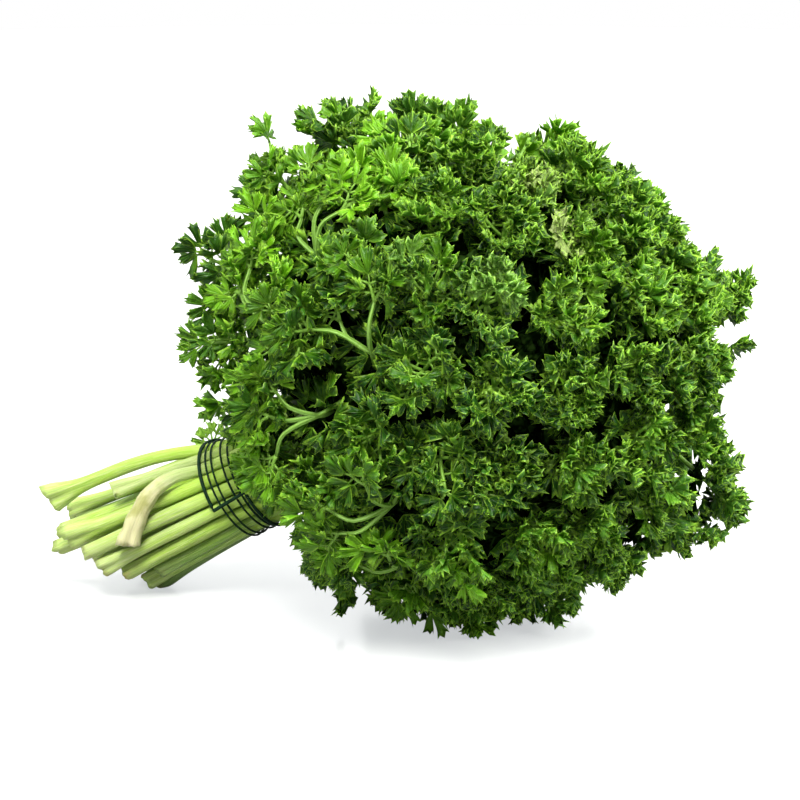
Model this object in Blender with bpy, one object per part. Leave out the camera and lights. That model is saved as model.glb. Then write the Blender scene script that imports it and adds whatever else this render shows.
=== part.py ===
"""Curly parsley bunch lying on its side: 28 stems tied by rubber bands, each with one curly frond.

Metres, +Z up, the table is z = 0. +X runs from the cut stem ends to the leafy head.
The head is a lumpy dome. Its surface is shared out between curly cushions (one cushion is one
side branch of a frond with its curled leaflets), so that no two cushions can meet.
"""

import math

import bmesh
import bpy
import numpy as np
from mathutils import Matrix, Vector

MM = 0.001
NAME = "curly_parsley_bunch"

# ---- the line of the bunch ----
HEAD_CENTRE = Vector((28, -1, 84.5)) * MM
BAND_CENTRE = Vector((-47, -1, 38.5)) * MM
LOWER_SLOPE = math.radians(29.5)
TIE_SLOPE = math.radians(28)

# ---- the stems: (count, ring radius at the tie, stem radius, polar angles of their fronds) ----
RINGS = (
    (1, 0.0, 2.5, (3,)),
    (9, 8.1, 2.35, (33, 58, 45)),
    (18, 14.0, 2.15, (80, 131, 106)),
)
RING_TURN = (0, 20, 10)  # degrees, the first stem of each ring
SPREAD = 0.0055 / MM  # how fast the cut half opens, per metre of its length
SETTLE = 0.42  # part of that opening that goes upward, because the table is below
CUT_LENGTH = 57 * MM  # from the tie to the cut ends
CUT_SLANT = 10 * MM  # upper stems are longer, lower ones shorter
CUT_SCATTER = 4 * MM
STRAIGHT = 8 * MM  # a stem runs straight under the ties, to this far each side
BASE_SWELL = 1.16  # a stem is thicker at its cut end
TOP_TAPER = 0.55  # and thinner at its fork
FORK_REACH = 0.56  # part of the head's radius where a stem forks
ARCH_STEM = 4  # in the outer ring: the long one on top that stands off the others
ARCH_LENGTH = 68 * MM
ARCH_SHIFT = Vector((0, 0, 7)) * MM
BENT_STEM = 6  # in the outer ring: the pale one that bends down across its neighbours
BENT_LENGTH = 38 * MM
BENT_SHIFT = Vector((6.5, -11.5, -11.3)) * MM
BENT_ARC = 7 * MM  # it first rises clear of them

# ---- the leafy head ----
HEAD_RADII = Vector((84, 82, 83)) * MM
HEAD_SLOPE = math.radians(31)
CUSHIONS = 112
DOME_REACH = math.radians(147)
CUSHION_CAP = math.radians(12.5)  # no cushion spreads wider than this, seen from the head centre
CUSHION_GAP = 0.35 * MM  # from a cushion to the shared wall with its neighbour
CUSHION_CORNERS = 12
CUSHION_BACK = 6.5 * MM
CUSHION_FRONT = 2.6 * MM
LOBE_DEPTH = 0.15
RUFFLE = 2.6 * MM
CRINKLE = 1.3 * MM
UNEVEN = 2.2 * MM
BRANCH_RADIUS = 1.15 * MM
# (bearing in the X-Z plane from +X, turn toward +Y, rise, half width), degrees and mm
LUMPS = (
    (16, 19, 14, 9),
    (355, 15, -4, 6),
    (59, 20, -7, 8),
    (83, 16, -12, 6),
    (110, 8, 4, 9),
    (130, 0, 13, 12),
    (150, -8, 8, 9),
    (161, -10, 13, 8),
    (178, -15, 5, 9),
    (190, -18, -6, 6),
    (231, -21, -8, 6),
    (272, -4, 6, 24),
    (305, -4, 3, 9),
    (332, 6, 15, 14),
    (112, -68, -5, 10),
    (230, -54, -5, 9),
    (205, -68, -4, 8),
    (290, -60, 5, 14),
    (150, -40, 4, 10),
    (60, 55, 4, 16),
    (150, 55, -4, 14),
)

# ---- the ties ----
THICK_RADIUS = 0.6 * MM
THIN_RADIUS = 0.3 * MM
TIE_CLEAR = 0.3 * MM
TIE_HALF = 6.3 * MM  # the thick band reaches this far each side of the tie
LINK_ANGLE = 186  # degrees round the tie, where the thick band runs along the stems
THIN_TURNS = 4
THIN_HALF = 5.4 * MM
RETURN_ANGLE = 330  # degrees round the tie, where the thin band goes back over its own turns
RETURN_SPAN = 56

# ---- the stray sprig on top of the stems beside the tie ----
SPRIG_PLACE = Vector((-64, 6, 50.2)) * MM
SPRIG_RADIUS = 4.6 * MM

GOLDEN = math.pi * (3 - math.sqrt(5))
AXIS = Vector((math.cos(HEAD_SLOPE), 0, math.sin(HEAD_SLOPE)))
AXIS_UP = Vector((-math.sin(HEAD_SLOPE), 0, math.cos(HEAD_SLOPE)))
SIDE = Vector((0, 1, 0))
TIE_AXIS = Vector((math.cos(TIE_SLOPE), 0, math.sin(TIE_SLOPE)))
TIE_UP = Vector((-math.sin(TIE_SLOPE), 0, math.cos(TIE_SLOPE)))
LOWER_AXIS = Vector((math.cos(LOWER_SLOPE), 0, math.sin(LOWER_SLOPE)))


def scatter(index, salt):
    """A repeatable number from -1 to 1."""
    value = math.sin(index * 12.9898 + salt * 78.233) * 43758.5453
    return 2 * (value - math.floor(value)) - 1


def polar(theta, phi):
    """A direction from the head centre: theta from the tip of the head, phi round the axis."""
    around = SIDE * math.cos(phi) + AXIS_UP * math.sin(phi)
    return AXIS * math.cos(theta) + around * math.sin(theta)


def head_radius(direction):
    """How far the leaves reach from the head centre in that direction."""
    along = Vector(c / r for c, r in zip(direction, HEAD_RADII))
    reach = 1 / along.length
    for bearing, turn, rise, width in LUMPS:
        b = math.radians(bearing)
        t = math.radians(turn)
        lump = Vector((math.cos(b) * math.cos(t), math.sin(t), math.sin(b) * math.cos(t)))
        off = math.degrees(direction.angle(lump))
        reach += rise * MM * math.exp(-((off / width) ** 2))
    return reach


def cushion_directions():
    """Sites spread evenly over the dome by the golden angle, each nudged a little."""
    sites = []
    for k in range(CUSHIONS):
        theta = math.acos(1 - (k + 0.5) / CUSHIONS * (1 - math.cos(DOME_REACH)))
        theta += math.radians(1.6) * scatter(k, 1)
        phi = k * GOLDEN + math.radians(1.6) * scatter(k, 2) / max(0.2, math.sin(theta))
        sites.append(polar(theta, phi))
    return sites


def stem_slots():
    """One entry for each stem: ring number, place in the ring, angle round the tie, frond direction."""
    slots = []
    for ring, (count, _, _, thetas) in enumerate(RINGS):
        for i in range(count):
            phi = math.radians(RING_TURN[ring]) + 2 * math.pi * i / count
            theta = math.radians(thetas[i % len(thetas)] + 2.5 * scatter(i, 3 + ring))
            slots.append((ring, i, phi, polar(theta, phi)))
    return slots


def link(name, mesh, place, material, collection):
    """A named object whose origin sits at the piece's own reference point."""
    mesh.transform(Matrix.Translation(-place))
    obj = bpy.data.objects.new(name, mesh)
    obj.location = place
    mesh.materials.clear()
    mesh.materials.append(material)
    for face in mesh.polygons:
        face.use_smooth = True
    collection.objects.link(obj)
    return obj


def tube(points, radii, sides, cyclic=False):
    """A capped or closed tube mesh along a poly spline, thick as radii says at each point."""
    curve = bpy.data.curves.new("line", "CURVE")
    curve.dimensions = "3D"
    curve.twist_mode = "Z_UP" if cyclic else "MINIMUM"
    curve.bevel_depth = 1.0
    curve.bevel_resolution = (sides - 4) // 2
    curve.use_fill_caps = not cyclic
    spline = curve.splines.new("POLY")
    spline.points.add(len(points) - 1)
    spline.use_cyclic_u = cyclic
    for point, place, radius in zip(spline.points, points, radii):
        point.co = (place.x, place.y, place.z, 1)
        point.radius = radius
    holder = bpy.data.objects.new("line", curve)
    bpy.context.scene.collection.objects.link(holder)
    bpy.context.view_layer.update()
    graph = bpy.context.evaluated_depsgraph_get()
    mesh = bpy.data.meshes.new_from_object(holder.evaluated_get(graph), depsgraph=graph)
    bpy.data.objects.remove(holder)
    bpy.data.curves.remove(curve)
    work = bmesh.new()
    work.from_mesh(mesh)
    bmesh.ops.remove_doubles(work, verts=work.verts, dist=1e-6)
    bmesh.ops.recalc_face_normals(work, faces=work.faces)
    work.to_mesh(mesh)
    work.free()
    return mesh


def cut_flat(mesh):
    """Takes away whatever is below the table and closes the cut with a flat face."""
    if min(v.co.z for v in mesh.vertices) >= 0:
        return
    work = bmesh.new()
    work.from_mesh(mesh)
    cut = bmesh.ops.bisect_plane(
        work,
        geom=work.verts[:] + work.edges[:] + work.faces[:],
        dist=1e-6,
        plane_co=(0, 0, 0),
        plane_no=(0, 0, -1),
        clear_outer=True,
    )
    edges = [e for e in cut["geom_cut"] if isinstance(e, bmesh.types.BMEdge)]
    bmesh.ops.holes_fill(work, edges=edges, sides=0)
    bmesh.ops.recalc_face_normals(work, faces=work.faces)
    work.to_mesh(mesh)
    work.free()


def bundle_point(ring_radius, phi, depth):
    """A place in the cut half, that far below the tie; the bundle opens toward its cut ends."""
    opened = ring_radius * (1 + SPREAD * depth)
    around = SIDE * math.cos(phi) + TIE_UP * math.sin(phi)
    raised = TIE_UP * (SETTLE * RINGS[-1][1] * MM * SPREAD * depth)
    return BAND_CENTRE - LOWER_AXIS * depth + around * opened + raised


def stem_line(ring, place, phi, direction, top):
    """Points and radii of one stem from its cut end, through the tie, to its fork."""
    _, ring_mm, radius_mm, _ = RINGS[ring]
    ring_radius = ring_mm * MM
    radius = radius_mm * MM
    lift = math.sin(phi) if ring else 0.0
    length = CUT_LENGTH + CUT_SLANT * lift + CUT_SCATTER * scatter(place, 11 + ring)
    outer = ring == len(RINGS) - 1
    shift = Vector((0, 0, 0))
    if outer and place == ARCH_STEM:
        length = ARCH_LENGTH
    if outer and place == BENT_STEM:
        length = BENT_LENGTH
    points = []
    radii = []
    for part in (1.0, 0.82, 0.62, 0.42, STRAIGHT / length, 0.0):
        point = bundle_point(ring_radius, phi, length * part)
        bend = max(0.0, part - STRAIGHT / length) / (1 - STRAIGHT / length)
        if outer and place == ARCH_STEM:
            point += ARCH_SHIFT * math.sin(0.5 * math.pi * bend)
        if outer and place == BENT_STEM:
            outward = SIDE * math.cos(phi) + TIE_UP * math.sin(phi)
            point += BENT_SHIFT * bend**2.2 + outward * (BENT_ARC * math.sin(math.pi * bend))
        points.append(point)
        radii.append(radius * (1 + (BASE_SWELL - 1) * part))
    start = points[-1] + TIE_AXIS * STRAIGHT
    points.append(start)
    radii.append(radius)
    handle = start + TIE_AXIS * (0.45 * (top - start).length)
    reach = top - direction * (0.25 * (top - start).length)
    for step in range(1, 6):
        t = step / 5
        a = start.lerp(handle, t)
        b = handle.lerp(reach, t)
        c = reach.lerp(top, t)
        points.append(a.lerp(b, t).lerp(b.lerp(c, t), t))
        radii.append(radius * (1 + (TOP_TAPER - 1) * t))
    return points, radii


def cell_limit(site, others, tangent, reach):
    """How far a cushion may spread from its site along a tangent, as an angle at the head centre."""
    limit = CUSHION_CAP
    for other in others:
        toward = tangent.dot(other)
        if toward > 1e-6:
            wall = math.atan2(1 - site.dot(other), toward)
            limit = min(limit, wall - CUSHION_GAP / reach)
    return limit


def cushion(index, site, others):
    """One curly cushion: a flattened sphere whose rim follows its cell and is lobed and ruffled."""
    work = bmesh.new()
    bmesh.ops.create_uvsphere(work, u_segments=CUSHION_CORNERS, v_segments=4, radius=1)
    first = site.cross(Vector((0.3, 0.9, 0.2))).normalized()
    second = site.cross(first)
    uneven = UNEVEN * scatter(index, 5) - CUSHION_FRONT
    middle = head_radius(site) + uneven
    turn = math.pi * scatter(index, 6)
    for vert in work.verts:
        flat = min(1.0, math.hypot(vert.co.x, vert.co.y))
        psi = math.atan2(vert.co.y, vert.co.x)
        tangent = first * math.cos(psi) + second * math.sin(psi)
        limit = cell_limit(site, others, tangent, middle)
        corner = round(psi * CUSHION_CORNERS / (2 * math.pi))
        lobe = 1 - LOBE_DEPTH * (corner % 2) * flat
        spread = limit * flat * lobe
        toward = site * math.cos(spread) + tangent * math.sin(spread)
        height = RUFFLE * math.cos(2.5 * psi + turn) * flat * flat
        height += CRINKLE * (1 - 2 * (corner % 2)) * 4 * flat * (1 - flat)
        height += CUSHION_FRONT * vert.co.z if vert.co.z > 0 else CUSHION_BACK * vert.co.z
        vert.co = HEAD_CENTRE + toward * (head_radius(toward) + uneven + height)
    bmesh.ops.recalc_face_normals(work, faces=work.faces)
    mesh = bpy.data.meshes.new("cushion")
    work.to_mesh(mesh)
    work.free()
    return mesh, middle


def ball(centre, radius):
    """A small round knot."""
    work = bmesh.new()
    bmesh.ops.create_uvsphere(
        work, u_segments=6, v_segments=4, radius=radius, matrix=Matrix.Translation(centre)
    )
    mesh = bpy.data.meshes.new("ball")
    work.to_mesh(mesh)
    work.free()
    return mesh


def united(meshes):
    """One closed mesh from several that overlap."""
    objects = [bpy.data.objects.new("part", mesh) for mesh in meshes]
    for obj in objects:
        bpy.context.scene.collection.objects.link(obj)
    extras = bpy.data.collections.new("extras")
    for obj in objects[1:]:
        extras.objects.link(obj)
    joining = objects[0].modifiers.new("join", "BOOLEAN")
    joining.operation = "UNION"
    joining.solver = "EXACT"
    joining.operand_type = "COLLECTION"
    joining.collection = extras
    bpy.context.view_layer.update()
    graph = bpy.context.evaluated_depsgraph_get()
    mesh = bpy.data.meshes.new_from_object(objects[0].evaluated_get(graph), depsgraph=graph)
    for obj in objects:
        bpy.data.objects.remove(obj)
    bpy.data.collections.remove(extras)
    for old in meshes:
        bpy.data.meshes.remove(old)
    work = bmesh.new()
    work.from_mesh(mesh)
    bmesh.ops.remove_doubles(work, verts=work.verts, dist=2e-6)
    bmesh.ops.triangulate(work, faces=work.faces)
    work.to_mesh(mesh)
    work.free()
    return mesh


def frond(direction, fork, members, sites):
    """A fork, its side branches and their cushions, as one body."""
    knot = fork + direction * (2.1 * MM)
    meshes = [ball(knot, 1.75 * MM)]
    for index in members:
        site = sites[index]
        near = [s for j, s in enumerate(sites) if j != index and s.dot(site) > 0.85]
        body, middle = cushion(index, site, near)
        meshes.append(body)
        bend = direction.slerp(site, 0.62) if direction.angle(site) > 0.02 else site
        knee = HEAD_CENTRE + bend * (0.8 * middle)
        tip = HEAD_CENTRE + site * (middle - 0.2 * CUSHION_BACK)
        line = [knot, knee, tip]
        meshes.append(tube(line, [BRANCH_RADIUS, 0.85 * BRANCH_RADIUS, 0.7 * BRANCH_RADIUS], 4))
    return united(meshes)


def on_tie(angle, offset, out):
    """A place on the surface of the tied bundle: round it in degrees, along it, and out from it."""
    phi = math.radians(angle)
    around = SIDE * math.cos(phi) + TIE_UP * math.sin(phi)
    _, ring_mm, radius_mm, _ = RINGS[-1]
    out += radius_mm * MM + TIE_CLEAR
    if offset > 0:
        return BAND_CENTRE + TIE_AXIS * offset + around * (ring_mm * MM + out)
    return bundle_point(ring_mm * MM, phi, -offset) + around * out


def thick_band():
    """One turn of a thick rubber band: it steps along the stems in front and slants back behind."""
    out = 2 * THIN_RADIUS + TIE_CLEAR + THICK_RADIUS
    points = []
    for k in range(5):
        points.append(on_tie(LINK_ANGLE - k, -TIE_HALF + 2 * TIE_HALF * k / 4, out))
    steps = 34
    for k in range(1, steps):
        angle = LINK_ANGLE - 4 + (360 + 4) * k / steps
        back = min(1.0, max(0.0, (angle - 270) / 180))
        offset = TIE_HALF * (1 - 2 * back)
        over = 3.4 * THIN_RADIUS * math.exp(-(((angle - RETURN_ANGLE) / 30) ** 2))
        points.append(on_tie(angle, offset, out + over))
    return tube(points, [THICK_RADIUS] * len(points), 6, cyclic=True)


def thin_band():
    """Several turns of a thin band under the thick one; its last stretch goes back over the others."""
    steps = 24
    count = THIN_TURNS * steps
    forward = count - round(RETURN_SPAN * steps / 360)
    first = RETURN_ANGLE + RETURN_SPAN / 2
    points = []
    for k in range(count):
        offset = -THIN_HALF + 2 * THIN_HALF * k / forward
        over = 0.0
        if k > forward:
            part = (k - forward) / (count - forward)
            offset = THIN_HALF - 2 * THIN_HALF * part
            over = 4.0 * THIN_RADIUS * math.sin(math.pi * part)
        points.append(on_tie(first + 360 * k / steps, offset, THIN_RADIUS + over))
    return tube(points, [THIN_RADIUS] * count, 4, cyclic=True)


def sprig():
    """A small lobed leaflet with a stub of stalk, lying on the stems beside the tie."""
    work = bmesh.new()
    bmesh.ops.create_uvsphere(work, u_segments=10, v_segments=4, radius=SPRIG_RADIUS)
    for vert in work.verts:
        psi = math.atan2(vert.co.y, vert.co.x)
        lobe = 0.85 + 0.15 * math.cos(5 * psi)
        vert.co.x *= lobe
        vert.co.y *= 0.7 * lobe
        vert.co.z = 0.22 * vert.co.z + 0.8 * MM * math.cos(2 * psi)
    tilt = Matrix.Rotation(-LOWER_SLOPE, 4, "Y")
    bmesh.ops.transform(work, matrix=Matrix.Translation(SPRIG_PLACE) @ tilt, verts=work.verts)
    bmesh.ops.recalc_face_normals(work, faces=work.faces)
    mesh = bpy.data.meshes.new("sprig")
    work.to_mesh(mesh)
    work.free()
    return mesh


def material(name, colour, roughness):
    made = bpy.data.materials.new(name)
    made.use_nodes = True
    shader = made.node_tree.nodes["Principled BSDF"]
    shader.inputs["Base Color"].default_value = (*colour, 1)
    shader.inputs["Roughness"].default_value = roughness
    shader.inputs["Metallic"].default_value = 0.0
    return made


def build():
    for old in list(bpy.data.objects):
        bpy.data.objects.remove(old)
    collection = bpy.data.collections.new(NAME)
    bpy.context.scene.collection.children.link(collection)
    stem_green = material("stem_green", (0.30, 0.45, 0.09), 0.45)
    leaf_green = material("leaf_green", (0.045, 0.16, 0.012), 0.55)
    band_dark = material("band_dark", (0.012, 0.03, 0.016), 0.6)
    sites = cushion_directions()
    slots = stem_slots()
    shares = [[] for _ in slots]
    for index, site in enumerate(sites):
        nearest = max(range(len(slots)), key=lambda k: slots[k][3].dot(site))
        shares[nearest].append(index)
    for k, (ring, place, phi, direction) in enumerate(slots):
        fork = HEAD_CENTRE + direction * (FORK_REACH * head_radius(direction))
        points, radii = stem_line(ring, place, phi, direction, fork)
        stem = tube(points, radii, 6)
        cut_flat(stem)
        link(f"stem_{k + 1:02d}", stem, points[0], stem_green, collection)
        leaf = frond(direction, fork, shares[k], sites)
        cut_flat(leaf)
        link(f"leaf_{k + 1:02d}", leaf, fork, leaf_green, collection)
    link("band_thick", thick_band(), BAND_CENTRE.copy(), band_dark, collection)
    link("band_thin", thin_band(), BAND_CENTRE.copy(), band_dark, collection)
    link("sprig_stray", sprig(), SPRIG_PLACE.copy(), leaf_green, collection)


build()
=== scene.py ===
"""The looks of a bunch of curly parsley lying on its side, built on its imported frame.

Each CAD node has one finished piece: a ribbed stem for a stem, a frond of thin curled leaflets on
their stalks for a leaf, and a wound rubber strand for a band. Metres, +Z up, the table is z = 0.
"""

from math import acos, asin, cos, degrees, exp, floor, pi, radians, sin, sqrt

import bpy
import numpy as np
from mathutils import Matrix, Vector


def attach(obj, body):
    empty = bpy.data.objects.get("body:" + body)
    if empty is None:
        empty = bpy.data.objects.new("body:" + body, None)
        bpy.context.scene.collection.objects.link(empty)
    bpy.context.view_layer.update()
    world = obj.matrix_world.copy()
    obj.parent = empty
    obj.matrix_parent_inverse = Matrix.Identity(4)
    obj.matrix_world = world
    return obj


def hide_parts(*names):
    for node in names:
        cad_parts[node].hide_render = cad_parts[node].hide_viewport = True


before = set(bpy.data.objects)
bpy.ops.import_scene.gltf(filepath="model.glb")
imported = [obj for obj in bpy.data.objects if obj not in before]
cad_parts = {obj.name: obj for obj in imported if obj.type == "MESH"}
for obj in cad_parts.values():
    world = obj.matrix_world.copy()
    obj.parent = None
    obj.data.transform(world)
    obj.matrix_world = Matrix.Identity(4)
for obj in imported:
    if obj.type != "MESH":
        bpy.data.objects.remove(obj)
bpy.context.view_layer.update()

MM = 0.001


def mm(*values):
    return np.array(values) * MM


ROOT = "root"
SEED = 41

# ---- the line of the bunch, as the CAD has it ----
HEAD_CENTRE = mm(28, -1, 84.5)
BAND_CENTRE = mm(-47, -1, 38.5)
HEAD_RADII = mm(84, 82, 83)
HEAD_SLOPE = radians(31)
LOWER_SLOPE = radians(29.5)
TIE_SLOPE = radians(28)
CUSHIONS = 112
DOME_REACH = radians(147)
GOLDEN = pi * (3 - sqrt(5))
# (bearing in the X-Z plane from +X, turn toward +Y, rise, half width), degrees and mm
LUMPS = (
    (16, 19, 14, 9), (355, 15, -4, 6), (59, 20, -7, 8), (83, 16, -12, 6), (110, 8, 4, 9),
    (130, 0, 13, 12), (150, -8, 8, 9), (161, -10, 13, 8), (178, -15, 5, 9), (190, -18, -6, 6),
    (231, -21, -8, 6), (272, -4, 6, 24), (305, -4, 3, 9), (332, 6, 15, 14), (112, -68, -5, 10),
    (230, -54, -5, 9), (205, -68, -4, 8), (290, -60, 5, 14), (150, -40, 4, 10), (60, 55, 4, 16),
    (150, 55, -4, 14),
)
# stems: (count, ring radius at the tie, stem radius, polar angles of their fronds)
RINGS = (
    (1, 0.0, 2.5, (3,)),
    (9, 8.1, 2.35, (33, 58, 45)),
    (18, 14.0, 2.15, (80, 131, 106)),
)
RING_TURN = (0, 20, 10)
SPREAD = 0.0055 / MM
SETTLE = 0.42
CUT_LENGTH = 57 * MM
CUT_SLANT = 10 * MM
CUT_SCATTER = 4 * MM
STRAIGHT = 8 * MM
BASE_SWELL = 1.16
TOP_TAPER = 0.55
FORK_REACH = 0.56
ARCH = 15  # the number of the long stem that arches over the top
ARCH_LENGTH = 68 * MM
ARCH_SHIFT = mm(0, 0, 7)
BENT = 17  # the number of the bent stem
BENT_LENGTH = 38 * MM
BENT_SHIFT = mm(6.5, -11.5, -11.3)
BENT_ARC = 7 * MM

THICK_RADIUS = 0.6 * MM
THIN_RADIUS = 0.3 * MM
TIE_CLEAR = 0.3 * MM
TIE_HALF = 6.3 * MM
LINK_ANGLE = 186
THIN_TURNS = 4
THIN_HALF = 5.4 * MM
THIN_STRAY = 0.8 * MM  # how far its turns are out of step
RETURN_ANGLE = 330
RETURN_SPAN = 56
SPRIG_PLACE = mm(-64, 6, 50.2)

# ---- the cut ends: for some stems, how far the end flares (in radii) and how pale it is; less
# than 0 is darker, and over 1 is cream ----
FLARES = {
    15: (1.3, 0.9), 16: (0.5, 0.4), 17: (0.25, 2.0), 18: (1.1, 0.8), 13: (0.5, 0.5),
    20: (0.5, 0.6), 7: (0.4, 0.5), 22: (0.2, -0.4), 23: (0.4, 0.1), 24: (0.5, -1.0),
    25: (0.3, -1.0),
}
BROKEN = {22: 8, 21: 3, 14: 27, 16: 25, 19: 4}  # stems that end early, by how many mm
ARCH_DROOP = mm(1, 0, 2.2)
BENT_GIRTH = 0.38  # it is thick and knobbly below the tie
BENT_REACH = 27 * MM
BENT_SINK = 2.6 * MM  # it rests on its neighbours
FLARE_LENGTH = 9 * MM
FLARE_TURN = radians(90)  # the groove of a flared end faces -Y, so it is broad up and down
WANDER = 1.2 * MM  # how far a cut end strays from its place
STEM_SIDES = 24
RIBS = 9
RIB_DEPTH = 0.03  # this and the next are shares of the stem's radius
KNOBBLE = 0.03
OVAL = 0.09
GROOVE = 0.1
GROOVE_AT_END = 0.35
GROOVE_WIDTH = 0.45  # radians
CUT_TILT = 0.35
CUT_ROUGH = 0.25 * MM
# the sunken cut end: how wide, as a share of the stem, and how deep
CUT_STEPS = ((0.9, 0.12 * MM), (0.62, 1.0 * MM))

# ---- the camera ----
CAMERA_TURN = 16
CAMERA_RISE = 14
CAMERA_AWAY = 0.95
CAMERA_LENS = 133.6
SENSOR = 36
AIM_RIGHT = -20.8 * MM  # the middle of the picture, from the head centre
AIM_UP = -11.8 * MM

# ---- the light: (name, turn and rise it comes from, in degrees, strength, how soft, colour) ----
AMBIENT = 0.33
SUNS = (
    ("key", 8, 58, 5.5, 26, (1, 0.99, 0.94)),
    ("right", 84, 38, 6.7, 45, (1, 1, 0.97)),
    ("left", -70, 36, 1.55, 60, (0.98, 1, 0.98)),
    ("rear", 180, 45, 1.8, 60, (1, 1, 0.98)),
)
FLOOR_RADIUS = 1.6
FLOOR_GREY = 0.36
FLOOR_GLOW = 0.56  # the floor is lit from below, as a light table is

# ---- a leaflet: a fan of three lobes with pointed teeth ----
LOBES = 3
LOBE_TEETH = 5
TEETH = LOBES * LOBE_TEETH
STEPS = 2  # columns of one tooth: the notch before it, and its tip
LOBE_COLUMNS = LOBE_TEETH * STEPS
COLUMNS = TEETH * STEPS + 1
FINE_RINGS = (0.07, 0.45, 0.76, 1.0)
FINE_STRIDE = (6, 2, 1, 1)
COARSE_RINGS = (0.06, 0.5, 1.0)
COARSE_STRIDE = (6, 2, 1)
LOBE_CUTS = list(range(LOBE_COLUMNS, COLUMNS - 1, LOBE_COLUMNS))
COLUMN = np.arange(COLUMNS)
TOOTH = np.minimum(COLUMN // STEPS, TEETH - 1)  # the tooth and the lobe each column is in
LOBE = np.minimum(COLUMN // LOBE_COLUMNS, LOBES - 1)
PRESSED = 2 * MM  # what lies below this is pressed flat on the table
BLADE_THICK = 0.3 * MM
PLEAT = 0.12 * MM
SIDE_REACH = 0.6  # how far the two sides of the fan reach
LOBE_ROUND = 0.2
LOBE_SHORTER = (0.02, 0.2)  # the two outer lobes
TOOTH_DEPTH = (0.08, 0.14)
TOOTH_CURL = 0.7
TOOTH_VARY = 0.035
DRIFT = 0.6  # how uneven the frills are, in radians
FLICK = 0.4
# the form of a leaflet: (least, most) when flat, and how much more when tightly curled
LEAF_SIZE = (7.6, 9.9, -1.4)
HALF_FAN = (56, 70, 20)
CONE = (0.0, 0.25, 0.2)
BEND = (-0.9, 0.45)
BEND_CURL = (0.2, 1.5)
LOBE_WAVE = (0.7, 1.3)
WAVE_CURL = 0.4
FRILL = (0.45, 0.75)
FRILL_CURL = 2.1
NOTCH = (0.5, 0.72)
NARROW = (0.15, 0.38)
# (when flat, how much more when tightly curled)
FOLD = (3, 9)
WAVE_TEETH = (3.4, -1.3)
# ---- a side branch: sprays of leaflets round its hub, and coarser leaves deeper inside ----
SPRAYS = 4  # round the middle one of a side branch, and one more where the leaves are close
INNER = 9
FILLERS = 2
FILLER_SIZE = (19, 23)
FILLER_SMALLER = 6  # under a tuft, where they would show
INNER_SIZE = (8, 10.5)
OUTWARD = (4, -3.5, 1.6)  # mm past the CAD's outline: when flat, more when curled, and scatter
HUB_DEPTH = (15, 3)  # mm: when curled, and more when flat
TILT_MIDDLE = (0.05, 0.4)
TILT_ROUND = (0.7, 1.15, -0.15)
SPRAY_REACH = (9.5, 12.5, -2.5)
MIDDLE_SHORTER = 0.8
STALK_LENGTH = (2.2, 3.4, -1.6)
AIRY = 0.26  # leaves less crisp than this stand apart, with gaps to see through
CLOSE = 0.55
CLOSE_SWING = 0.25  # how far the leaflets of a curled spray are drawn in
LEAFLET_REACH = 7 * MM
HOLLOW = 1.6  # leaflets reach across a hollow of the head, so it is made deeper
FILLER_DEPTH = 8 * MM
CORE_SIZE = (32, 40)
INNER_SHADE = -0.4
SHADOW_TONE = -1.0  # the tone of the leaves that fill the depths: painted near black, as painted shade
INSIDE = (SHADOW_TONE, -0.2)  # the tones over which such a leaf, painted as shade, turns into one outside
DEPTH_CURL = 0.3
# side branches that fork in the open: (turn and rise of the fork on the head, angles of its arms
# from its right hand side), degrees
OPEN_FORKS = (
    ((-8, 22), (82, 138, 165)), ((-19, -11), (150, 185, 228)),
    ((-8, -34), (172, 205, 110)), ((3, -52), (20, 95, 160)),
    ((-49, 24), (50, 118, 155)), ((-49, 43), (60, 95, 140)),
    ((140, 20), (50, 100, 150)), ((-130, 25), (40, 90, 140)),
)
TWIG_BOW = 0.08
FORK_ARM = 15 * MM
ARM_SIDES = 10
FORK_THICK = mm(1.05, 0.88, 0.68, 0.52)
SPRIG_LEAF = 5 * MM
SPRIG_TURNS = (-2.4, -1.8, -1.2, -0.6, 0.0, 0.6, 1.2, 1.8, 2.4)  # the leaflets of the stray sprig
# side branches that stand out of the head: (turn and rise on the head in degrees, how far in mm)
TUFTS = (
    ((99, -26), 6), ((95, -37), 3), ((-54, -54), 3), ((-88, 43), 3),
    ((-98, 61), 5), ((110, 15), 2), ((91, 19), 3), ((141, 66), 3),
)
GASH = ((57, 75), (181, 50))  # the ends of an arc over the top where the leaves are parted
GASH_DEPTH = 22 * MM
GASH_WIDTH = 6
GASH_CLEAR = 3 * MM
TIE_ROOM = 11 * MM  # leaflets keep clear of the tie: along the bunch, and out from its middle
TIE_REACH = 36 * MM
# where a few leaflets have turned yellow: turn and rise on the head, degrees
OLD = ((44, 57), (47, 42), (-150, 40))
# where they have a painted whitish sheen, are brighter, and are darker as painted shade
SHEEN_PLACES = ((-6, 41), (25, 30), (150, 5))
BRIGHT = ((14, -42), (-52, 10), (24, 22), (-20, 62), (100, 20), (170, -20), (141, 66))
SHADED = ((8, -4), (18, 12))
SHADE_PLACES = ((30, -4), (-10, 4), (-22, 2), (4, -28), (130, 50))
# (how much of it, how wide each place is in degrees)
OLD_PATCH = (0.45, 2.5)
SHEEN_PATCH = (0.35, 6)
# patches that lighten a leaflet's tone, and patches of painted shade that darken it
SHADES = ((BRIGHT, (0.3, 8)), (SHADE_PLACES, (-0.25, 9)), (SHADED, (-0.45, 20)))
# leaflets of a spray: (turn from its line, in radians, how far back from its tip, as a share)
LEAFLETS = ((0.0, 0.0), (1.0, 0.0), (-1.0, 0.0), (1.45, 0.5), (-1.45, 0.5))

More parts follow.
